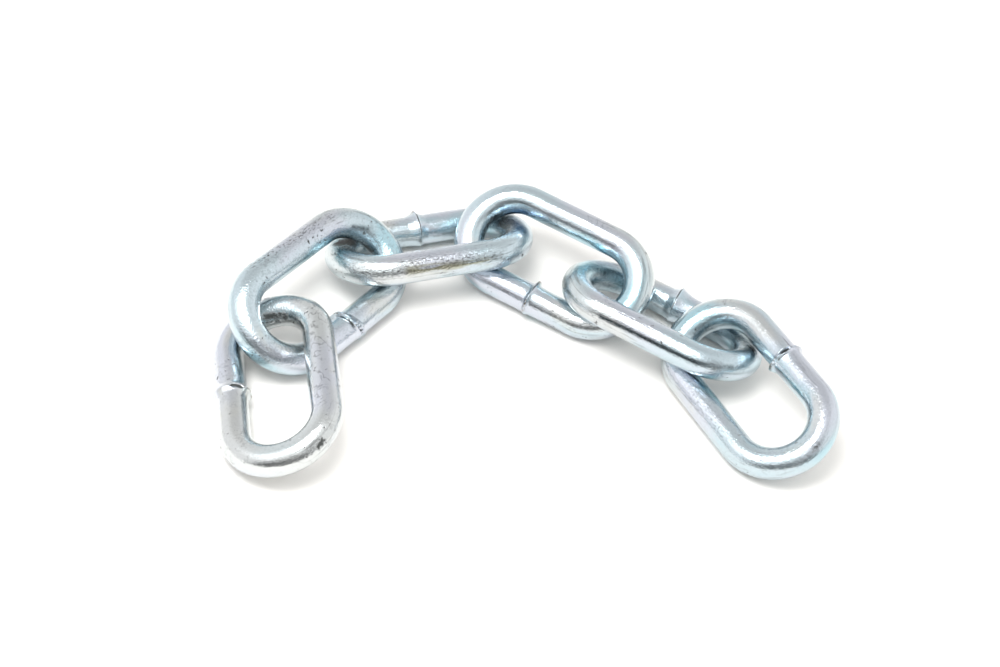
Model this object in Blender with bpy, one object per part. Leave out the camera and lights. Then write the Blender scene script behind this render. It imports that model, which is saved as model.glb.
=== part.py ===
"""A short length of welded steel chain, six links lying loosely in an arch on a level surface.

Each link is a straight-sided oval bent from round wire, its two wire ends butted and welded in the
middle of one leg. The links are threaded through each other in a row and touch nothing else.
Millimetres are turned into metres by MM. +Z is up, +X runs along the chain's longest way across.
"""

import math

import bmesh
import bpy
from mathutils import Euler, Matrix, Vector

MM = 0.001

# The link: everything follows from the wire and the opening inside it
WIRE = 5.0 * MM
INSIDE_LENGTH = 24.9 * MM
INSIDE_WIDTH = 9.7 * MM

# The weld: a low collar round one leg, with a short level crest and a slope on each side
WELD_HEIGHT = 0.3 * MM
WELD_CREST = 1.2 * MM
WELD_LENGTH = 4.4 * MM

# How finely the wire is cut: an odd count puts one facet squarely across the top of each crown
SECTION_SIDES = 16
CROWN_STEPS = 13

WIRE_RADIUS = WIRE / 2
BEND_RADIUS = (INSIDE_WIDTH + WIRE) / 2
HALF_LEG = (INSIDE_LENGTH - INSIDE_WIDTH) / 2

# How each link lies, from the left end of the chain to the right, in millimetres and degrees.
# x and y are the middle of the link. Heading turns its long way about the upright, nose_up lifts its
# +X crown, and lean tips it about its long way, so that one leg is low and the other high.
# weld_side is the leg with the weld: 1 is the leg on +Y before the link is turned, -1 the other.
# pivot is the place on the link's own wire, as an angle round its crowns, about which it rocks in
# the link it hangs on: a link is carried by its neighbour nearer the middle of the chain.
MIDDLE_LINK = {
    "name": "link_3", "x": -18.5, "y": 19.6,
    "heading": 25.0, "nose_up": 0.0, "lean": -22.5, "weld_side": 1, "pivot": None,
}
LEFT_LINKS = (
    {
        "name": "link_2", "x": -34.2, "y": 4.7,
        "heading": 58.5, "nose_up": 0.0, "lean": 32.0, "weld_side": -1, "pivot": -58.0,
    },
    {
        "name": "link_1", "x": -37.2, "y": -15.1,
        "heading": 105.0, "nose_up": -0.5, "lean": -22.0, "weld_side": 1, "pivot": 28.0,
    },
)
RIGHT_LINKS = (
    {
        "name": "link_4", "x": 1.9, "y": 19.4,
        "heading": -23.5, "nose_up": -1.5, "lean": 32.0, "weld_side": -1, "pivot": 250.0,
    },
    {
        "name": "link_5", "x": 20.4, "y": 11.1,
        "heading": -23.0, "nose_up": -2.0, "lean": -21.5, "weld_side": 1, "pivot": 144.0,
    },
    {
        "name": "link_6", "x": 34.8, "y": -1.0,
        "heading": -54.0, "nose_up": 0.0, "lean": 27.0, "weld_side": 1, "pivot": 252.0,
    },
)


def crown_point(end, degrees):
    """A point of the wire's centre line on the crown at this end, and the way out of the bend there."""
    angle = math.radians(degrees)
    outward = Vector((math.cos(angle), math.sin(angle), 0))
    return Vector((end * HALF_LEG, 0, 0)) + outward * BEND_RADIUS, outward


def pivot_point(degrees):
    """The point of the wire that this angle falls on. It is on the crown at the end that it looks to."""
    end = 1 if math.cos(math.radians(degrees)) > 0 else -1
    return crown_point(end, degrees)[0]


def weld_stations():
    """Distances along a leg from the weld's middle, each with how far the wire swells there."""
    foot, crest = WELD_LENGTH / 2, WELD_CREST / 2
    half_way = (foot + crest) / 2
    rise = [(-foot, 0.0), (-half_way, WELD_HEIGHT / 2), (-crest, WELD_HEIGHT)]
    return rise + [(-place, swell) for place, swell in reversed(rise)]


def wire_stations(weld_side):
    """Once round the link: points of the wire's centre line, each with the way out and the radius."""
    stations = []
    for end in (1, -1):
        for step in range(CROWN_STEPS + 1):
            point, outward = crown_point(end, -90 * end + 180 * step / CROWN_STEPS)
            stations.append((point, outward, WIRE_RADIUS))
        if weld_side == end:
            outward = Vector((0, end, 0))
            for place, swell in weld_stations():
                point = Vector((-end * place, end * BEND_RADIUS, 0))
                stations.append((point, outward, WIRE_RADIUS + swell))
    return stations


def link_mesh(name, weld_side, origin):
    """The link as one closed sweep of the wire's section, with the given point moved to its origin."""
    bm = bmesh.new()
    rings = []
    for point, outward, radius in wire_stations(weld_side):
        ring = []
        for side in range(SECTION_SIDES):
            turn = 2 * math.pi * (side + 0.5) / SECTION_SIDES
            offset = outward * math.cos(turn) + Vector((0, 0, 1)) * math.sin(turn)
            ring.append(bm.verts.new(point + offset * radius - origin))
        rings.append(ring)
    for ring, following in zip(rings, rings[1:] + rings[:1]):
        for side in range(SECTION_SIDES):
            beside = (side + 1) % SECTION_SIDES
            bm.faces.new((ring[side], ring[beside], following[beside], following[side]))
    bmesh.ops.recalc_face_normals(bm, faces=bm.faces)
    mesh = bpy.data.meshes.new(name)
    bm.to_mesh(mesh)
    bm.free()
    mesh.shade_smooth()
    mesh.set_sharp_from_angle(angle=math.radians(40))
    return mesh


def zinc_plate():
    """Bright zinc over steel, a cool near-white metal."""
    material = bpy.data.materials.new("bright_zinc")
    material.use_nodes = True
    shader = material.node_tree.nodes["Principled BSDF"]
    shader.inputs["Base Color"].default_value = (0.78, 0.80, 0.83, 1.0)
    shader.inputs["Metallic"].default_value = 1.0
    shader.inputs["Roughness"].default_value = 0.25
    return material


def add_link(lie, material, carrier):
    """Adds one link, turned as it lies, its lowest point on the ground, its origin on its pivot."""
    pivot = Vector((0, 0, 0)) if lie["pivot"] is None else pivot_point(lie["pivot"])
    mesh = link_mesh(lie["name"], lie["weld_side"], pivot)
    mesh.materials.append(material)
    link = bpy.data.objects.new(lie["name"], mesh)
    bpy.context.scene.collection.objects.link(link)

    turn = Euler(
        (math.radians(lie["lean"]), -math.radians(lie["nose_up"]), math.radians(lie["heading"]))
    ).to_matrix()
    lowest = min((turn @ (vertex.co + pivot)).z for vertex in mesh.vertices)
    centre = Vector((lie["x"] * MM, lie["y"] * MM, -lowest))
    link.parent = carrier
    link.matrix_world = Matrix.Translation(centre + turn @ pivot) @ turn.to_4x4()
    bpy.context.view_layer.update()
    return link


def add_row(row, material, carrier):
    """Threads a row of links outwards from the link that carries the first of them."""
    for lie in row:
        carrier = add_link(lie, material, carrier)


for leftover in list(bpy.data.objects):
    bpy.data.objects.remove(leftover)

zinc = zinc_plate()
middle = add_link(MIDDLE_LINK, zinc, None)
add_row(LEFT_LINKS, zinc, middle)
add_row(RIGHT_LINKS, zinc, middle)
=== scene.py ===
"""A short length of bright-zinc steel chain, six welded links lying in a loose arch on a pale floor.

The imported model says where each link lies. Here each is made as it looks: round wire bent to a
straight-sided oval, its ends butted and welded in one leg, and the whole plated with zinc.
Lengths are in metres unless a name or a comment says millimetres.
"""

import math

import bpy
from mathutils import Euler, Matrix, Vector


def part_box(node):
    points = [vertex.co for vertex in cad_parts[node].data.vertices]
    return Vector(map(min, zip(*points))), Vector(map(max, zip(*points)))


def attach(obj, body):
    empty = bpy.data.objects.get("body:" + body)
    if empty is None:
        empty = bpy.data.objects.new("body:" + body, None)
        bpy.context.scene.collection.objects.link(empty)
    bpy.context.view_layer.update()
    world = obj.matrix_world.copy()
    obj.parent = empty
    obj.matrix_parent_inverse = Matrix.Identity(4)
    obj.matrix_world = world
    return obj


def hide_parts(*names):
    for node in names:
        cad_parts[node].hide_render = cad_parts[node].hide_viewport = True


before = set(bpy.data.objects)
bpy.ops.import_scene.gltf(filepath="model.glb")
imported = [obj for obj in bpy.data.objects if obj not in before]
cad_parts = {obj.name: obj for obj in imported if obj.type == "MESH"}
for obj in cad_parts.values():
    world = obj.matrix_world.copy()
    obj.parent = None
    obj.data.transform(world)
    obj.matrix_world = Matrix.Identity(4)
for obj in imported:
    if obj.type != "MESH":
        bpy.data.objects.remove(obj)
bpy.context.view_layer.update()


# The camera stands in front of the chain and looks down on it at 46 degrees. It is tipped a little to the
# left about its own line of sight, which brings the two ends of the arch level in the picture.
LOOK_AT = Vector((-0.0049, 0.0077, 0.0))
CAMERA_DISTANCE = 0.3191
CAMERA_ELEVATION = math.radians(46.035)
CAMERA_ROLL = math.radians(-8.827)
CAMERA_LENS_MM = 71.04
CAMERA_SENSOR_MM = 36.0
CAMERA_NEAREST = 0.01

sight = Vector((0, math.cos(CAMERA_ELEVATION), -math.sin(CAMERA_ELEVATION)))
level_right = Vector((1, 0, 0))
level_up = level_right.cross(sight)
picture_right = level_right * math.cos(CAMERA_ROLL) - level_up * math.sin(CAMERA_ROLL)
picture_up = level_right * math.sin(CAMERA_ROLL) + level_up * math.cos(CAMERA_ROLL)

camera_lens = bpy.data.cameras.new("camera")
camera_lens.lens = CAMERA_LENS_MM
camera_lens.sensor_width = CAMERA_SENSOR_MM
camera_lens.clip_start = CAMERA_NEAREST
camera = bpy.data.objects.new("camera", camera_lens)
bpy.context.scene.collection.objects.link(camera)
camera_turn = Matrix((picture_right, picture_up, -sight)).transposed()
camera.matrix_world = Matrix.Translation(LOOK_AT - sight * CAMERA_DISTANCE) @ camera_turn.to_4x4()
bpy.context.scene.camera = camera


# The wire of a link is 5 mm mild steel, bent cold round a mandrel to an oval 24.9 by 9.7 mm inside.
# Geometry Nodes sweep its section round the oval, starting and ending at the weld in the +Y leg, and
# press the unevenness of real wire and the flash of the weld into it. One tree makes every link.
WIRE = 0.005
INSIDE_LENGTH = 0.0249
INSIDE_WIDTH = 0.0097
# The rings of the mesh, how much they crowd at the weld, and the points round a ring and a bent corner
RINGS = 420
RING_CROWDING = 0.75
SIDES = 128
CROWN_POINTS = 48
# How far round the oval the middle of the +Y leg is, as a share
WELD_AT = 0.25


class Field:
    """A number worked out in a node tree. Sums and products of fields are written as of plain numbers."""

    def __init__(self, tree, socket):
        self.tree = tree
        self.socket = socket

    def maths(self, operation, *others):
        return math_of(self.tree, operation, self, *others)

    def __add__(self, other):
        return self.maths("ADD", other)

    def __sub__(self, other):
        return self.maths("SUBTRACT", other)

    def __rsub__(self, other):
        return math_of(self.tree, "SUBTRACT", other, self)

    def __mul__(self, other):
        return self.maths("MULTIPLY", other)

    def __truediv__(self, other):
        return self.maths("DIVIDE", other)

    def __neg__(self):
        return self.maths("MULTIPLY", -1.0)

    def above(self, other):
        return self.maths("GREATER_THAN", other)

    def bell(self, width):
        """1 where the field is 0, falling away smoothly to a third at this width."""
        share = self / width
        return math_of(self.tree, "EXPONENT", -(share * share))

    def ramp(self, low, high):
        """0 below low and 1 above high, with an easy change between them."""
        made = add_node(
            self.tree, "ShaderNodeMapRange",
            {"Value": self, "From Min": low, "From Max": high},
            interpolation_type="SMOOTHSTEP",
        )
        return Field(self.tree, made.outputs["Result"])


def feed(tree, slot, value):
    """Sets an input to a value, or links it to the field or the output that is given."""
    if isinstance(value, Field):
        value = value.socket
    if isinstance(value, bpy.types.NodeSocket):
        tree.links.new(value, slot)
    else:
        slot.default_value = value


def add_node(tree, kind, inputs=(), **settings):
    """Adds a node with its settings made and its inputs fed, each named by its label or its number."""
    made = tree.nodes.new(kind)
    for name, value in settings.items():
        setattr(made, name, value)
    for name, value in dict(inputs).items():
        feed(tree, made.inputs[name], value)
    return made


def math_of(tree, operation, *values):
    """The result of one Math node on fields and numbers."""
    made = add_node(tree, "ShaderNodeMath", enumerate(values), operation=operation)
    return Field(tree, made.outputs[0])


def vector_of(tree, operation, *values):
    """The result of one Vector Math node."""
    made = add_node(tree, "ShaderNodeVectorMath", operation=operation)
    slots = (made.inputs["Scale"],) if operation == "SCALE" else made.inputs[1:]
    feed(tree, made.inputs[0], values[0])
    for slot, value in zip(slots, values[1:]):
        feed(tree, slot, value)
    return made.outputs["Value" if operation in ("LENGTH", "DISTANCE", "DOT_PRODUCT") else "Vector"]


def grain(tree, place, size, seed=0.0, detail=2.0, roughness=0.5):
    """A noise texture with lumps about this size at these places, as a node. It is fixed by its seed."""
    return add_node(
        tree, "ShaderNodeTexNoise",
        {"Vector": place, "W": seed, "Scale": 0.5 / size, "Detail": detail, "Roughness": roughness},
        noise_dimensions="4D",
    )


def captured(tree, geometry, value, kind):
    """Keeps a value on the points of a geometry. Gives the geometry and the kept value."""
    keep = tree.nodes.new("GeometryNodeCaptureAttribute")
    keep.capture_items.new(kind, "kept")
    feed(tree, keep.inputs[0], geometry)
    feed(tree, keep.inputs[1], value)
    return keep.outputs[0], keep.outputs[1]


def stored(tree, geometry, name, value, kind, domain):
    """Writes a value onto the mesh under a name that the material reads."""
    made = add_node(
        tree, "GeometryNodeStoreNamedAttribute",
        {"Geometry": geometry, "Name": name, "Value": value},
        data_type=kind, domain=domain,
    )
    return made.outputs[0]


# What the tree is told of a link. The weld swells smoothly, rises to a crest like two cones that meet,
# and throws up two lips of flash that lie apart and part further, over a slit, on the open side. A nub or
# two of flash stand out on the nub side. Sides are given as world directions for the link as it lies.
LINK_SIZES = {
    "Wire": WIRE,
    "Inside Length": INSIDE_LENGTH,
    "Inside Width": INSIDE_WIDTH,
    "Bend Wander": 0.00004,
    "Long Waves": 0.00003,
    "Short Waves": 0.000008,
    "Swell Height": 0.00015,
    "Swell Reach": 0.0010,
    "Cone Height": 0.0,
    "Cone Ahead": 0.0015,
    "Cone Behind": 0.0015,
    "Lip Height": 0.00015,
    "Lip Width": 0.00014,
    "Lip Spread": 0.0001,
    "Lip Parting": 0.0003,
    "Slit Depth": 0.0003,
    "Slit Span": 0.5,
    "Seam Slant": 0.0,
    "Slit Breaks": 0.0,
    "Nub Height": 0.0,
    "Blueness": 0.9,
    "Wear": 0.5,
    "Streaking": 0.5,
    "Grit": 0.4,
    "Seed": 0.0,
}
LINK_SIDES = {
    "Up Side": (0.0, 0.0, 1.0),
    "Open Side": (0.0, -0.4, 0.9),
    "Nub Side": (0.0, 0.0, 1.0),
    "Second Nub Side": (0.0, 0.0, 1.0),
}
# The noise in a link's shape: how large the lumps of each kind are, and the step from the link's seed
SHAPE_LUMPS = {
    "long waves": (0.006, 0.0),
    "bend": (0.012, 3.0),
    "short waves": (0.0011, 7.0),
    "seam": (0.0016, 11.0),
    "lips": (0.0012, 23.0),
    "torn edges": (0.0003, 29.0),
    "slit breaks": (0.00035, 31.0),
}
# What is the same on every weld: how far the seam wanders along the wire, the slit's own half width, how
# far a nub reaches along the wire, how sharp the crest is, and how torn the flash is for its height
SEAM_WANDER = 0.0007
SLIT_HALF_WIDTH = 0.00004
NUB_REACH = 0.00034
CREST_SHARPNESS = 1.5
FLASH_TORN = 1.1
# How squarely a side of the wire faces the open side where the slit is whole, the nub side where a nub
# begins and where it is whole, and the upper side where the weld begins to rise and is at full height
SLIT_WHOLE = 0.96
NUB_FACING = (0.86, 0.99)
UPPER_FACING = (-0.9, 0.1)
# The least share of its height that a lip has, and that the whole weld has underneath
LEAST_HEIGHT = 0.4


def link_tree():
    """The Geometry Nodes tree that makes one link about its own middle, its long way along X."""
    tree = bpy.data.node_groups.new("chain_link", "GeometryNodeTree")
    tree.interface.new_socket("Link", in_out="OUTPUT", socket_type="NodeSocketGeometry")
    for name, value in LINK_SIZES.items():
        socket = tree.interface.new_socket(name, in_out="INPUT", socket_type="NodeSocketFloat")
        socket.default_value = value
    for name, value in LINK_SIDES.items():
        socket = tree.interface.new_socket(name, in_out="INPUT", socket_type="NodeSocketVector")
        socket.default_value = value
    tree.interface.new_socket("Zinc", in_out="INPUT", socket_type="NodeSocketMaterial")
    given = tree.nodes.new("NodeGroupInput")
    asked = {name: Field(tree, given.outputs[name]) for name in (*LINK_SIZES, *LINK_SIDES)}

    def lumps(kind, place, detail=2.0):
        """The noise of this kind at these places, as a node."""
        size, seed_step = SHAPE_LUMPS[kind]
        return grain(tree, place, size, asked["Seed"] + seed_step, detail)

    def level(kind, place, detail=2.0):
        """How strong the noise of this kind is, from 0 to 1 about one half."""
        return Field(tree, lumps(kind, place, detail).outputs["Fac"])

    # The oval of the wire's centre line, and a ring of points that is laid on it, crowded at the weld
    length = asked["Inside Length"] + asked["Wire"]
    width = asked["Inside Width"] + asked["Wire"]
    round_about = width * math.pi + (length - width) * 2.0
    oblong = add_node(
        tree, "GeometryNodeCurvePrimitiveQuadrilateral", {"Width": length, "Height": width}
    )
    oval = add_node(
        tree, "GeometryNodeFilletCurve",
        {"Curve": oblong.outputs[0], "Count": CROWN_POINTS, "Radius": width * 0.5, "Limit Radius": True},
        mode="POLY",
    )
    points = add_node(
        tree, "GeometryNodeCurvePrimitiveCircle", {"Resolution": RINGS, "Radius": length}
    )
    index = Field(tree, tree.nodes.new("GeometryNodeInputIndex").outputs[0])
    share = index / RINGS
    crowded = share - (share * math.tau).maths("SINE") * (RING_CROWDING / math.tau)
    from_weld = (crowded - crowded.above(0.5)) * round_about
    laid = add_node(
        tree, "GeometryNodeSampleCurve",
        {"Curves": oval.outputs[0], "Factor": (crowded + WELD_AT).maths("FRACT")},
        mode="FACTOR",
    )
    wander = lumps("bend", laid.outputs["Position"], detail=0.0).outputs["Color"]
    wander = vector_of(tree, "SUBTRACT", wander, (0.5, 0.5, 0.5))
    wander = vector_of(tree, "SCALE", wander, asked["Bend Wander"] * 2.0)
    centre_line = add_node(
        tree, "GeometryNodeSetPosition",
        {"Geometry": points.outputs[0], "Position": laid.outputs["Position"], "Offset": wander},
    )
    upright = add_node(
        tree, "GeometryNodeSetCurveNormal", {"Curve": centre_line.outputs[0]}, mode="Z_UP"
    )
    line, along = captured(tree, upright.outputs[0], crowded * round_about, "FLOAT")
    line, signed = captured(tree, line, from_weld, "FLOAT")
    line_place = tree.nodes.new("GeometryNodeInputPosition").outputs[0]
    line, middle = captured(tree, line, line_place, "VECTOR")

    # The round section, swept along the ring of points
    section = add_node(
        tree, "GeometryNodeCurvePrimitiveCircle",
        {"Resolution": SIDES, "Radius": asked["Wire"] * 0.5},
    )
    section_place = tree.nodes.new("GeometryNodeInputPosition").outputs[0]
    section, around = captured(tree, section.outputs[0], section_place, "VECTOR")
    swept = add_node(
        tree, "GeometryNodeCurveToMesh",
        {"Curve": line, "Profile Curve": section, "Fill Caps": False},
    )
    position = tree.nodes.new("GeometryNodeInputPosition").outputs[0]
    outward = vector_of(tree, "NORMALIZE", vector_of(tree, "SUBTRACT", position, middle))

    def facing(side):
        """1 on the side of the wire that faces this way, and -1 on the side away from it."""
        return Field(tree, vector_of(tree, "DOT_PRODUCT", outward, asked[side]))

    # The wire's own unevenness: long waves from the bending, short ones from drawing and tumbling
    long_waves = level("long waves", position, detail=1.0) - 0.5
    short_waves = level("short waves", position) - 0.5
    rise = long_waves * asked["Long Waves"] * 2.0 + short_waves * asked["Short Waves"] * 2.0

    # The weld, whose seam wanders a little along the wire: first the place of everything on it
    ring_place = vector_of(tree, "SCALE", outward, WIRE / 2)
    seam_wander = (level("seam", ring_place) - 0.5) * SEAM_WANDER
    seam = Field(tree, signed) - seam_wander - facing("Nub Side") * asked["Seam Slant"]
    zone = seam.bell(asked["Swell Reach"])
    open_share = facing("Open Side").ramp(1.0 - asked["Slit Span"], SLIT_WHOLE)
    lip_size = level("lips", ring_place).ramp(0.25, 0.7) * (1.0 - LEAST_HEIGHT) + LEAST_HEIGHT
    lip_place = open_share * asked["Lip Parting"] * 0.5 + asked["Lip Spread"] * 0.5
    lips = (seam - lip_place).bell(asked["Lip Width"]) + (seam + lip_place).bell(asked["Lip Width"])
    breaks = (-level("slit breaks", position, detail=1.0)).ramp(-0.56, -0.46) * asked["Slit Breaks"]
    slit = open_share * seam.bell(lip_place * 0.55 + SLIT_HALF_WIDTH) * (-breaks + 1.0)
    ahead = (-seam / asked["Cone Ahead"] + 1.0).maths("MAXIMUM", 0.0)
    behind = (seam / asked["Cone Behind"] + 1.0).maths("MAXIMUM", 0.0)
    cone = ahead.maths("MINIMUM", behind).maths("POWER", CREST_SHARPNESS)
    nub = facing("Nub Side").maths("MAXIMUM", facing("Second Nub Side")).ramp(*NUB_FACING)
    nub = nub * seam.bell(NUB_REACH)
    torn = level("torn edges", position, detail=3.0) - 0.5

    # Then its height, which is pressed flatter underneath
    crest = zone * asked["Swell Height"] + cone * asked["Cone Height"]
    crest = crest + lips * lip_size * asked["Lip Height"]
    crest = crest * (facing("Up Side").ramp(*UPPER_FACING) * (1.0 - LEAST_HEIGHT) + LEAST_HEIGHT)
    rise = rise + crest + nub * asked["Nub Height"] - slit * asked["Slit Depth"]
    rise = rise + torn * (lips * asked["Lip Height"] + nub * asked["Nub Height"]) * FLASH_TORN
    flashed = add_node(
        tree, "GeometryNodeSetPosition",
        {"Geometry": swept.outputs[0], "Offset": vector_of(tree, "SCALE", outward, rise)},
    )

    # The way along and round the wire goes with the mesh, whole up to the weld, and so does the weld
    along = Field(tree, along)
    face_mean = add_node(
        tree, "GeometryNodeFieldOnDomain", {0: along}, data_type="FLOAT", domain="FACE"
    ).outputs[0]
    last_ring = (Field(tree, face_mean) - along).above(round_about * 0.25)
    split = add_node(tree, "ShaderNodeSeparateXYZ", {0: around})
    way = add_node(
        tree, "ShaderNodeCombineXYZ",
        {0: along + last_ring * round_about, 1: split.outputs[0], 2: split.outputs[1]},
    )
    weld = add_node(
        tree, "ShaderNodeCombineXYZ",
        {0: slit, 1: nub * asked["Nub Height"].above(0.0), 2: asked["Grit"]},
    )
    look = add_node(
        tree, "ShaderNodeCombineXYZ",
        {0: asked["Blueness"], 1: asked["Wear"], 2: asked["Streaking"]},
    )
    mesh = stored(tree, flashed.outputs[0], "along_wire", way.outputs[0], "FLOAT_VECTOR", "CORNER")
    mesh = stored(tree, mesh, "weld", weld.outputs[0], "FLOAT_VECTOR", "POINT")
    mesh = stored(tree, mesh, "look", look.outputs[0], "FLOAT_VECTOR", "POINT")
    mesh = add_node(
        tree, "GeometryNodeSetShadeSmooth", {"Geometry": mesh, "Shade Smooth": True}
    ).outputs[0]
    mesh = add_node(tree, "GeometryNodeRealizeInstances", {"Geometry": mesh}).outputs[0]
    mesh = add_node(
        tree, "GeometryNodeSetMaterial", {"Geometry": mesh, "Material": given.outputs["Zinc"]}
    ).outputs[0]
    tree.links.new(mesh, tree.nodes.new("NodeGroupOutput").inputs[0])
    return tree


# The plating is bright zinc, a blue-white metal under a thin clear finish that tints it here and there
# towards lavender, cyan or straw. The drawn wire shows through as fine streaks, and the satin surface is
# pitted and crazed in patches. Shade is painted on it, dark or deep blue, where the links bear on each
# other and deep in the weld's slit, and some darker bands and spots on it are painted reflection.
ZINC_PALE = (0.611, 0.63, 0.63, 1.0)
ZINC_BLUE = (0.514, 0.616, 0.669, 1.0)
ZINC_LAVENDER = (0.582, 0.611, 0.684, 1.0)
ZINC_CYAN = (0.407, 0.606, 0.679, 1.0)
ZINC_STRAW = (0.621, 0.621, 0.543, 1.0)
ZINC_DARK = (0.07, 0.07, 0.07, 1.0)
ZINC_OLIVE = (0.36, 0.35, 0.22, 1.0)
ZINC_RUBBED = (0.82, 0.84, 0.85, 1.0)
# Dark metal: painted shade where the links bear and along the flash of link_2's weld, and painted darker
# bands of reflection
ZINC_PAINTED_SHADE = (0.035, 0.055, 0.065, 1.0)
# A deep blue painted inside the crowns where the links meet, for their shade and the blue reflection of the
# next link
ZINC_PAINTED_BLUE_SHADE = (0.13, 0.22, 0.33, 1.0)
ZINC_BURNT = (0.16, 0.13, 0.09, 1.0)
# Not metal: the dark of pits and nicks, and painted shade and painted reflection in the dark marks and the
# weld's slit
GRIME_AND_PAINTED_SHADE = (0.02, 0.024, 0.022, 1.0)


def blend_colours(tree, share, first, second):
    """The first colour where share is 0, and the second where it is 1."""
    made = add_node(tree, "ShaderNodeMix", {0: share, 6: first, 7: second}, data_type="RGBA")
    return made.outputs[2]


# Marks on single links, each a stroke from one point to another, in millimetres where the chain lies,
# with its width in millimetres and its strength from 0 to 1
MM_PER_METRE = 1000
# Dark marks, not metal: the dark of real pits and nicks, painted shade where the links bear, and dark spots
# of painted reflection
DARK_MARKS = (
    # A painted reflection of a dark part of the room, as a dark spot on the lower crown of link_1 and one
    # of link_6
    ((-28.1, -28.0, 9.0), (-28.5, -28.7, 8.5), 0.66, 0.82),
    ((44.7, -14.0, 8.2), (45.3, -13.3, 8.6), 0.80, 0.50),
    # Painted shade in the crevices where link_1 and link_2 bear on each other, and link_2 and link_3, and
    # link_3 and link_4
    ((-41.2, -3.0, 6.7), (-38.4, -3.1, 7.5), 0.85, 0.90),
    ((-40.9, -3.2, 5.8), (-39.2, -3.0, 6.1), 0.50, 0.60),
    ((-42.2, 0.4, 7.5), (-41.8, 0.1, 7.7), 0.80, 0.50),
    ((-32.7, 14.9, 7.5), (-30.8, 17.2, 6.0), 1.15, 1.0),
    ((-28.6, 15.7, 6.9), (-27.4, 15.2, 6.7), 0.55, 0.60),
    ((-7.9, 26.6, 6.3), (-6.8, 24.9, 7.5), 0.70, 0.65),
    ((-9.0, 25.0, 8.6), (-9.8, 23.2, 7.2), 0.60, 0.60),
    # Pits in the weld of link_2
    ((-28.5, 0.25, 5.4), (-27.9, -0.2, 4.9), 0.26, 1.0),
    ((-27.45, 0.7, 5.2), (-27.3, 0.6, 5.0), 0.22, 0.9),
    # Nicks on link_2, link_3, link_4, link_5 and link_1
    ((-36.95, 9.05, 12.56), (-36.45, 8.75, 12.25), 0.22, 1.0),
    ((-35.37, 11.87, 12.66), (-34.9, 12.4, 12.7), 0.20, 1.0),
    ((-3.23, 18.39, 7.78), (-3.05, 18.0, 8.3), 0.30, 1.0),
    ((16.49, 19.57, 11.56), (16.55, 19.45, 11.5), 0.22, 1.0),
    ((20.24, 1.64, 9.64), (19.9, 2.1, 10.3), 0.16, 1.0),
    ((-28.49, -26.0, 10.28), (-28.6, -26.2, 10.3), 0.22, 0.8),
)
PAINTED_SHADE_MARKS = (
    # Painted shade, darkening the zinc in the crevice where link_2 and link_3 bear on each other
    ((-32.9, 15.2, 7.6), (-30.4, 18.0, 5.6), 1.30, 1.0),
    ((-31.6, 14.0, 8.0), (-30.3, 12.8, 8.6), 0.80, 0.35),
    ((-29.4, 18.9, 3.8), (-29.0, 19.1, 3.4), 0.80, 0.80),
    ((-30.2, 16.2, 7.3), (-27.4, 15.2, 6.7), 0.75, 1.0),
    ((-30.8, 15.7, 10.9), (-28.5, 16.5, 10.2), 0.35, 0.70),
    # Painted shade where link_3 and link_4 bear, then link_5 with link_6 and with link_4, and a painted
    # darker band of reflection on the crown of link_2 that lies over link_1
    ((-7.3, 27.8, 6.8), (-6.2, 27.6, 7.4), 0.90, 1.0),
    ((-7.9, 26.6, 6.3), (-6.6, 24.6, 7.6), 0.90, 0.85),
    ((-8.8, 25.3, 9.0), (-10.0, 22.8, 6.8), 0.85, 0.90),
    ((33.0, 9.3, 6.0), (35.8, 5.6, 7.0), 1.00, 0.60),
    ((9.2, 16.8, 7.1), (10.7, 18.6, 6.4), 0.75, 0.80),
    ((10.0, 17.3, 4.8), (12.8, 18.9, 3.2), 0.85, 0.60),
    ((26.0, 8.1, 6.2), (28.3, 9.6, 6.9), 0.80, 0.60),
    ((-41.6, -10.0, 8.2), (-37.9, -10.3, 6.6), 0.60, 0.30),
    # Painted darker lines in the reflected bands along link_5, and a painted greyer stretch of highlight on
    # the raised leg of link_6
    ((10.3, 5.5, 9.5), (26.0, -0.85, 9.15), 0.34, 1.0),
    ((26.0, -0.85, 9.15), (31.7, 0.1, 8.4), 0.36, 0.75),
    ((42.6, -3.0, 11.2), (45.0, -7.4, 10.8), 0.50, 0.20),
    # Painted shade along the edges of the two ropes of flash in the weld of link_2
    ((-31.1, 2.0, 4.4), (-29.45, 0.66, 5.5), 0.24, 0.8),
    ((-29.45, 0.66, 5.5), (-27.6, -0.43, 4.5), 0.24, 0.8),
    ((-29.5, 1.88, 5.6), (-28.1, 1.12, 5.6), 0.24, 0.8),
    ((-28.1, 1.12, 5.6), (-27.3, 0.6, 5.0), 0.24, 0.8),
)
SPECKLED_MARKS = (
    # Fine dark pepper along the raised legs of link_2 and link_3, and on the low legs of link_4 and link_6
    ((-44.5, 1.5, 13.0), (-34.5, 15.2, 13.1), 0.85, 0.9),
    ((-21.5, 9.6, 10.5), (-6.8, 15.2, 9.8), 0.95, 1.0),
    ((-29.8, 8.3, 8.9), (-26.0, 7.4, 9.6), 0.50, 1.0),
    ((-26.0, 7.4, 9.6), (-20.5, 8.6, 10.1), 0.50, 1.0),
    ((1.65, 10.93, 4.69), (9.23, 8.09, 4.63), 0.55, 0.9),
    ((26.9, -3.5, 4.3), (31.5, -10.2, 4.2), 0.90, 0.45),
)
CRAZED_MARKS = (
    # The finish has cracked along the raised leg of link_1
    ((-33.8, -5.0, 10.6), (-29.9, -20.0, 10.7), 2.20, 1.0),
)
OLIVE_MARKS = (
    # Olive streaks along the raised leg of link_3
    ((-20.45, 8.88, 9.85), (-8.8, 14.0, 9.2), 0.80, 1.0),
)
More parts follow.
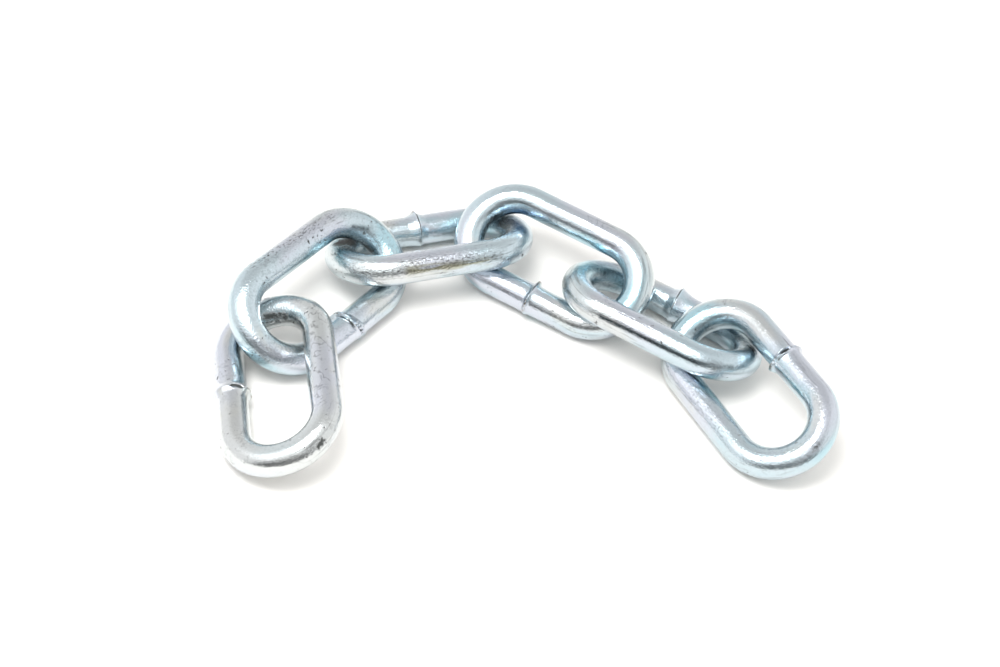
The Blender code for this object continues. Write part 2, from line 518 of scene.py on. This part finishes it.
PAINTED_BLUE_SHADE_MARKS = (
    # Painted shade and painted blue reflection of the next link, as a deep blue inside the crowns where the
    # links meet
    ((-6.0, 26.8, 7.8), (-3.6, 22.6, 9.0), 1.20, 1.0),
    ((-7.6, 26.0, 10.1), (-3.8, 26.0, 10.2), 0.70, 0.8),
    ((8.0, 20.4, 7.3), (12.0, 21.2, 5.9), 1.00, 0.5),
)
BRIGHT_MARKS = (
    # Rubbed bright, on the right crown of link_3 and across the raised leg of link_2
    ((-4.08, 20.88, 10.0), (-4.0, 20.7, 10.0), 0.38, 1.0),
    ((-38.55, 5.65, 12.45), (-39.1, 6.1, 12.9), 0.13, 1.0),
    ((-38.2, 6.3, 12.45), (-38.75, 6.75, 12.9), 0.13, 1.0),
    ((-35.9, 9.5, 12.5), (-36.5, 10.0, 12.95), 0.13, 1.0),
)


# The noise in the finish: how large the lumps of each kind are, and the seed that fixes where they fall
FINISH_LUMPS = {
    "streaks": (0.00030, 1.0),
    "grit": (0.00015, 2.0),
    "patches": (0.0036, 3.0),
    "pits": (0.00030, 4.0),
    "lavender": (0.0026, 5.0),
    "cyan": (0.0020, 6.0),
    "waves": (0.0007, 7.0),
    "crazing": (0.0008, 8.0),
    "crazing gaps": (0.0012, 9.0),
    "scores": (0.0030, 10.0),
    "speckles": (0.00013, 12.0),
    "pale": (0.0032, 13.0),
    "burns": (0.00022, 14.0),
}
# What the way along the wire is multiplied by, which draws the noise out into streaks or long patches
STREAK_DRAW = (0.12, 1.0, 1.0)
LONG_DRAW = (0.3, 1.0, 1.0)
SHORT_DRAW = (0.5, 1.0, 1.0)
# The roughness of the zinc where nothing has marked it and where it is smoothest, and its relief in metres
SATIN_ROUGHNESS = 0.14
SMOOTHEST = 0.07
RELIEF_DEPTH = 0.00009


def zinc_material():
    """Bright zinc, for a link whose mesh carries the attributes along_wire, weld and look."""
    material = bpy.data.materials.new("bright_zinc")
    material.use_nodes = True
    tree = material.node_tree
    shader = tree.nodes["Principled BSDF"]

    spot = tree.nodes.new("ShaderNodeTexCoord").outputs["Object"]

    def carried(name):
        """An attribute of the mesh, whole and as its three numbers."""
        vector = add_node(tree, "ShaderNodeAttribute", attribute_name=name).outputs["Vector"]
        split = add_node(tree, "ShaderNodeSeparateXYZ", {0: vector})
        return vector, *(Field(tree, split.outputs[i]) for i in range(3))

    def lumps(kind, place=spot, detail=2.0, roughness=0.5):
        """The noise of this kind, from 0 to 1 about one half."""
        size, seed = FINISH_LUMPS[kind]
        return Field(tree, grain(tree, place, size, seed, detail, roughness).outputs["Fac"])

    def marked(marks):
        """1 on the strokes of these marks, falling away smoothly to their sides."""
        total = None
        for start, end, width, strength in marks:
            start = Vector(start) / MM_PER_METRE
            run = Vector(end) / MM_PER_METRE - start
            from_start = vector_of(tree, "SUBTRACT", spot, start)
            per_length = run / run.length_squared
            share = Field(tree, vector_of(tree, "DOT_PRODUCT", from_start, per_length))
            share = share.maths("MAXIMUM", 0.0).maths("MINIMUM", 1.0)
            nearest = vector_of(tree, "SCALE", tuple(run), share)
            away = Field(tree, vector_of(tree, "DISTANCE", from_start, nearest))
            one = away.bell(width / MM_PER_METRE) * strength
            total = one if total is None else total.maths("MAXIMUM", one)
        return total

    way, *_ = carried("along_wire")
    _, slit, nub, gritty = carried("weld")
    _, blueness, wear, streaking = carried("look")
    drawn = vector_of(tree, "MULTIPLY", way, STREAK_DRAW)
    long_drawn = vector_of(tree, "MULTIPLY", way, LONG_DRAW)
    short_drawn = vector_of(tree, "MULTIPLY", way, SHORT_DRAW)

    # Fine grain all over, streaks along the wire, and patches that are duller, pitted and crazed. A ramp
    # that starts at 0.5 takes the upper half of the noise, and one that starts at 0.67 only a few spots.
    streaks = lumps("streaks", drawn, detail=3.0)
    grit = lumps("grit", roughness=0.6)
    waves = lumps("waves")
    patches = lumps("patches")
    speckled_area = marked(SPECKLED_MARKS)
    worn = (patches + wear * 0.25).ramp(0.56, 0.74)
    dull = (worn * gritty).maths("MAXIMUM", speckled_area)
    pitted = lumps("pits", detail=1.0).ramp(0.67, 0.71) * worn
    crazing = (lumps("crazing") - 0.5).bell(0.028)
    crazed = crazing * (worn * 0.45).maths("MAXIMUM", marked(CRAZED_MARKS))
    crazed = crazed * lumps("crazing gaps").ramp(0.46, 0.56)
    scored = (lumps("scores", long_drawn) + streaking * 0.25).ramp(0.58, 0.70)
    scored = streaks.ramp(0.56, 0.68) * scored
    # The dark marks and the weld's slit: pits and nicks, painted shade where the links bear and deep in the
    # slit, and dark spots of painted reflection
    dark_marks = marked(DARK_MARKS)
    dark_marks = (dark_marks + (grit - 0.5) * dark_marks * 2.5).ramp(0.25, 0.75)
    dark_marks = dark_marks.maths("MAXIMUM", slit.ramp(0.25, 0.55))
    # Painted shade where the links bear, and painted darker bands of reflection
    painted_shade = marked(PAINTED_SHADE_MARKS) * ((grit - 0.5) * 2.0 + 0.90)
    speckled = speckled_area * lumps("speckles", short_drawn).ramp(0.50, 0.62)
    olive = marked(OLIVE_MARKS) * streaks.ramp(0.42, 0.58)
    rubbed = marked(BRIGHT_MARKS).ramp(0.25, 0.60)
    burnt = nub.ramp(0.2, 0.8) * lumps("burns").ramp(0.44, 0.56)
    darkened = pitted * 0.7 + crazed * 0.45 + scored * 0.35 + speckled * 0.65
    darkened = darkened + (grit - 0.5) * (gritty * 0.7 + 0.15)

    # The colour: the tints of the finish lie one over the other, and the wear and the marks over them,
    # among them the painted shade and painted reflection
    hue = lumps("cyan", long_drawn)
    layers = (
        (blueness, ZINC_BLUE),
        (lumps("lavender", long_drawn).ramp(0.46, 0.64) * 0.9, ZINC_LAVENDER),
        (hue.ramp(0.50, 0.66) * blueness * 0.95, ZINC_CYAN),
        (lumps("pale", long_drawn).ramp(0.56, 0.68) * 0.8, ZINC_PALE),
        ((-hue).ramp(-0.42, -0.32) * worn * 0.4, ZINC_STRAW),
        (olive * 0.8, ZINC_OLIVE),
        (marked(PAINTED_BLUE_SHADE_MARKS) * 0.9, ZINC_PAINTED_BLUE_SHADE),
        (darkened.maths("MAXIMUM", 0.0).maths("MINIMUM", 0.9), ZINC_DARK),
        (painted_shade.maths("MINIMUM", 0.97), ZINC_PAINTED_SHADE),
        (dark_marks * 0.95, GRIME_AND_PAINTED_SHADE),
        (rubbed * 0.8, ZINC_RUBBED),
        (burnt * 0.8, ZINC_BURNT),
    )
    colour = ZINC_PALE
    for share, tint in layers:
        colour = blend_colours(tree, share, colour, tint)
    feed(tree, shader.inputs["Base Color"], colour)

    # The roughness and the metal: wear is rougher than the satin, and the dark marks, the dark of pits and
    # nicks with painted shade and painted reflection, aren't metal
    rough = dull * 0.12 + (grit - 0.5) * 0.15 + scored * 0.1 + pitted * 0.2
    rough = rough + dark_marks * 0.3 + SATIN_ROUGHNESS
    feed(tree, shader.inputs["Roughness"], rough.maths("MAXIMUM", SMOOTHEST))
    feed(tree, shader.inputs["Metallic"], -dark_marks + 1.0)

    # The relief: grain, waves and streaks stand up, and pits, cracks and scores are sunk
    relief = grit * (gritty * 1.1 + 0.2) + waves * (gritty * 0.3 + 0.15)
    relief = relief + streaks * (streaking * 0.4 + 0.3)
    relief = relief - pitted * 0.2 - crazed * 0.1 - scored * 0.2
    relief = relief - speckled * 0.05 - dark_marks * 0.1
    bump = add_node(
        tree, "ShaderNodeBump", {"Height": relief, "Distance": RELIEF_DEPTH, "Strength": 1.0}
    )
    feed(tree, shader.inputs["Normal"], bump.outputs["Normal"])
    return material


# The six links, from the left end of the arch to the right. Each is threaded through the next and lies
# with one leg on the floor and the other raised on its neighbour. Degrees: heading about the upright,
# nose up of the +X crown, and lean about the link's long way. weld_leg is 1 for the leg on +Y.
LINK_LIES = {
    "link_1": {"heading": 105.0, "nose_up": -0.5, "lean": -22.0, "weld_leg": 1},
    "link_2": {"heading": 58.5, "nose_up": 0.0, "lean": 32.0, "weld_leg": -1},
    "link_3": {"heading": 25.0, "nose_up": 0.0, "lean": -22.5, "weld_leg": 1},
    "link_4": {"heading": -23.5, "nose_up": -1.5, "lean": 32.0, "weld_leg": -1},
    "link_5": {"heading": -23.0, "nose_up": -2.0, "lean": -21.5, "weld_leg": 1},
    "link_6": {"heading": -54.0, "nose_up": 0.0, "lean": 27.0, "weld_leg": 1},
}
# How the links differ. link_1 has a round boss with a short black slit and a rag of flash inside the
# link. link_2 has two ropes of flash with pits between them. link_3 and link_5 swell to a sharp crest.
# link_4 has a fine slit with a nub at each end. link_6 has thick lips, parted over a black slit.
LINK_LOOKS = {
    "link_1": {
        "Seed": 1.0, "Blueness": 0.15, "Wear": 0.60, "Streaking": 0.0, "Grit": 0.20,
        "Swell Height": 0.00034, "Swell Reach": 0.0008, "Lip Height": 0.00003, "Lip Parting": 0.0009,
        "Slit Depth": 0.00040, "Slit Span": 0.14, "Open Side": (0.32, -0.10, 0.94),
        "Nub Height": 0.00024, "Nub Side": (0.95, 0.25, 0.05), "Second Nub Side": (0.85, 0.25, 0.45),
    },
    "link_2": {
        "Seed": 2.0, "Wear": 0.55, "Streaking": 0.4, "Grit": 0.50,
        "Swell Height": 0.00008, "Lip Height": 0.00042, "Lip Width": 0.00016, "Lip Spread": 0.0009,
        "Lip Parting": 0.0001, "Slit Depth": 0.00045, "Slit Span": 0.60, "Slit Breaks": 0.8,
        "Open Side": (0.70, -0.43, 0.57), "Seam Slant": -0.0007,
        "Nub Height": 0.00045, "Nub Side": (-0.80, 0.25, 0.55), "Second Nub Side": (-0.72, 0.15, 0.68),
    },
    "link_3": {
        "Seed": 3.0, "Wear": 0.55, "Streaking": 1.0, "Grit": 0.60,
        "Swell Height": 0.00006, "Cone Height": 0.00048, "Cone Ahead": 0.0019, "Cone Behind": 0.0015,
        "Lip Height": 0.00008, "Lip Parting": 0.0001, "Slit Depth": 0.0001,
        "Nub Height": 0.00018, "Nub Side": (-0.35, 0.75, 0.55), "Second Nub Side": (0.05, -0.95, 0.05),
    },
    "link_4": {
        "Seed": 4.0, "Wear": 0.25, "Streaking": 0.6, "Grit": 0.25,
        "Swell Height": 0.00012, "Swell Reach": 0.0006, "Cone Height": 0.00016, "Cone Ahead": 0.0030,
        "Cone Behind": 0.0007, "Lip Height": 0.00012, "Lip Width": 0.00022, "Lip Parting": 0.00012,
        "Slit Depth": 0.00012, "Slit Span": 0.5, "Open Side": (0.2, 0.4, 0.9),
        "Nub Height": 0.00048, "Nub Side": (0.22, 0.75, 0.62), "Second Nub Side": (-0.30, -0.88, 0.36),
    },
    "link_5": {
        "Seed": 5.0, "Blueness": 1.0, "Wear": 0.35, "Streaking": 0.8, "Grit": 0.45,
        "Swell Height": 0.00008, "Cone Height": 0.00058, "Cone Ahead": 0.0015, "Cone Behind": 0.0028,
        "Lip Height": 0.00008, "Lip Parting": 0.0001, "Slit Depth": 0.0001,
    },
    "link_6": {
        "Seed": 6.0, "Wear": 0.25, "Streaking": 0.9, "Grit": 0.35,
        "Swell Height": 0.00014, "Lip Height": 0.00034, "Lip Width": 0.00018, "Lip Spread": 0.0004,
        "Lip Parting": 0.00045, "Slit Depth": 0.00050, "Slit Span": 0.17, "Open Side": (-0.06, -0.48, 0.87),
        "Nub Height": 0.00060, "Nub Side": (-0.45, -0.88, 0.10), "Second Nub Side": (-0.60, -0.72, -0.10),
    },
}


def box_middle(low, high):
    """The middle of the box between these two corners."""
    return (Vector(low) + Vector(high)) / 2


def turn_of(lie):
    """How the link is turned as it lies, from the way the tree makes it."""
    turn = Euler(
        (math.radians(lie["lean"]), -math.radians(lie["nose_up"]), math.radians(lie["heading"]))
    ).to_matrix()
    return turn if lie["weld_leg"] > 0 else turn @ Matrix.Rotation(math.pi, 3, "Z")


def make_link(tree, material, looks, turn):
    """Runs the tree on an empty mesh with these inputs and gives back the link as a plain mesh."""
    blank = bpy.data.objects.new("blank", bpy.data.meshes.new("blank"))
    bpy.context.scene.collection.objects.link(blank)
    maker = blank.modifiers.new("chain_link", "NODES")
    maker.node_group = tree
    sockets = {item.name: item.identifier for item in tree.interface.items_tree}
    for name, value in LINK_SIZES.items():
        maker[sockets[name]] = looks.get(name, value)
    for name, value in LINK_SIDES.items():
        maker[sockets[name]] = turn.inverted() @ Vector(looks.get(name, value)).normalized()
    maker[sockets["Zinc"]] = material
    evaluated = blank.evaluated_get(bpy.context.evaluated_depsgraph_get())
    mesh = bpy.data.meshes.new_from_object(evaluated)
    blank.modifiers.remove(maker)
    bpy.data.objects.remove(blank)
    return mesh


def lay_link(mesh, node, turn):
    """Turns the mesh as the link lies and sets it in the middle of its CAD solid's box."""
    mesh.transform(turn.to_4x4())
    spread = [vertex.co for vertex in mesh.vertices]
    low = [min(co[axis] for co in spread) for axis in range(3)]
    high = [max(co[axis] for co in spread) for axis in range(3)]
    mesh.transform(Matrix.Translation(box_middle(*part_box(node)) - box_middle(low, high)))


chain_link = link_tree()
bright_zinc = zinc_material()
for name, lie in LINK_LIES.items():
    turn = turn_of(lie)
    mesh = make_link(chain_link, bright_zinc, LINK_LOOKS[name], turn)
    lay_link(mesh, name, turn)
    mesh.name = name + "_wire"
    link = bpy.data.objects.new(name + "_wire", mesh)
    bpy.context.scene.collection.objects.link(link)
    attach(link, name)
    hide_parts(name)


# The floor is one sheet of matt white paper, laid flat under the chain. It shows no edge and no grain,
# and is wide enough to reach the horizon from any side.
FLOOR_SIDE = 8.0
PAPER_WHITE = (0.95, 0.935, 0.905, 1.0)
PAPER_ROUGHNESS = 0.9

paper = bpy.data.materials.new("white_paper")
paper.use_nodes = True
paper_shader = paper.node_tree.nodes["Principled BSDF"]
paper_shader.inputs["Base Color"].default_value = PAPER_WHITE
paper_shader.inputs["Roughness"].default_value = PAPER_ROUGHNESS
floor_mesh = bpy.data.meshes.new("floor")
half = FLOOR_SIDE / 2
floor_mesh.from_pydata(
    [(-half, -half, 0), (half, -half, 0), (half, half, 0), (-half, half, 0)], [], [(0, 1, 2, 3)]
)
floor_mesh.materials.append(paper)
floor = bpy.data.objects.new("floor", floor_mesh)
bpy.context.scene.collection.objects.link(floor)


# The light is a wide soft box overhead, to the left and towards the camera, and it is brightest towards
# the chain, where it has a hot core. Round it is a pale room, brighter at the sides and darker low down
# on the camera's side, which draws the bands along the wires.
LAMPS = {
    # Each lies inside the one before it: shape, middle, size across and deep, and power in watts
    "box_skirt": ("RECTANGLE", (-0.198, -0.177, 0.332), (0.760, 0.472), 0.305),
    "box_field": ("RECTANGLE", (-0.193, -0.170, 0.330), (0.571, 0.392), 0.193),
    "box_heart": ("RECTANGLE", (-0.165, -0.116, 0.328), (0.429, 0.244), 0.12),
    "box_core": ("ELLIPSE", (-0.092, -0.075, 0.325), (0.200, 0.160), 0.78),
}
ROOM_BACK_LOW = (1.03, 1.02, 1.01, 1.0)
ROOM_BACK_HIGH = (0.82, 0.81, 0.80, 1.0)
ROOM_RIGHT = (1.20, 1.19, 1.18, 1.0)
ROOM_LEFT = (1.20, 1.19, 1.19, 1.0)
ROOM_FRONT_LOW = (0.38, 0.375, 0.37, 1.0)
ROOM_FRONT_HIGH = (0.78, 0.77, 0.76, 1.0)
ROOM_DARKEST = (0.02, 0.02, 0.02, 1.0)
# Between which parts of a direction, upwards, sideways or towards the camera, one tone gives way to another
BACK_RISE = (0.2, 0.75)
SIDE_REACH = (0.25, 0.85)
FRONT_RISE = (0.24, 0.60)
FRONT_REACH = (0.35, 0.80)
# The dark patches of the room: which way each is from the chain, how wide and how deep
DARK_PATCHES = (
    ((0.509, -0.491, 0.707), 0.20, 0.40),
    ((0.0, -0.906, 0.423), 0.24, 0.35),
    ((-0.17, -0.935, 0.31), 0.10, 0.70),
    ((-0.40, -0.866, 0.30), 0.10, 0.75),
    ((-0.53, -0.80, 0.28), 0.09, 0.70),
    ((-0.554, -0.830, 0.070), 0.16, 0.50),
    ((0.489, -0.847, 0.208), 0.22, 0.40),
)

for name, (shape, middle, size, power) in LAMPS.items():
    lamp = bpy.data.lights.new(name, "AREA")
    lamp.shape = shape
    lamp.size, lamp.size_y = size
    lamp.energy = power
    hung = bpy.data.objects.new(name, lamp)
    hung.location = middle
    bpy.context.scene.collection.objects.link(hung)

room = bpy.data.worlds.new("pale_room")
room.use_nodes = True
sky = room.node_tree
direction = sky.nodes.new("ShaderNodeTexCoord").outputs["Generated"]
ways = add_node(sky, "ShaderNodeSeparateXYZ", {0: direction})
rightward, backward, upward = (Field(sky, ways.outputs[i]) for i in range(3))
colour = blend_colours(sky, upward.ramp(*BACK_RISE), ROOM_BACK_LOW, ROOM_BACK_HIGH)
colour = blend_colours(sky, rightward.ramp(*SIDE_REACH), colour, ROOM_RIGHT)
colour = blend_colours(sky, (-rightward).ramp(*SIDE_REACH), colour, ROOM_LEFT)
front = blend_colours(sky, upward.ramp(*FRONT_RISE), ROOM_FRONT_LOW, ROOM_FRONT_HIGH)
colour = blend_colours(sky, (-backward).ramp(*FRONT_REACH), colour, front)
for patch_way, width, depth in DARK_PATCHES:
    nearness = Field(sky, vector_of(sky, "DISTANCE", direction, patch_way)).bell(width)
    colour = blend_colours(sky, nearness * depth, colour, ROOM_DARKEST)
feed(sky, sky.nodes["Background"].inputs["Color"], colour)
bpy.context.scene.world = room

bpy.context.scene.view_settings.view_transform = "Standard"


bpy.context.view_layer.update()
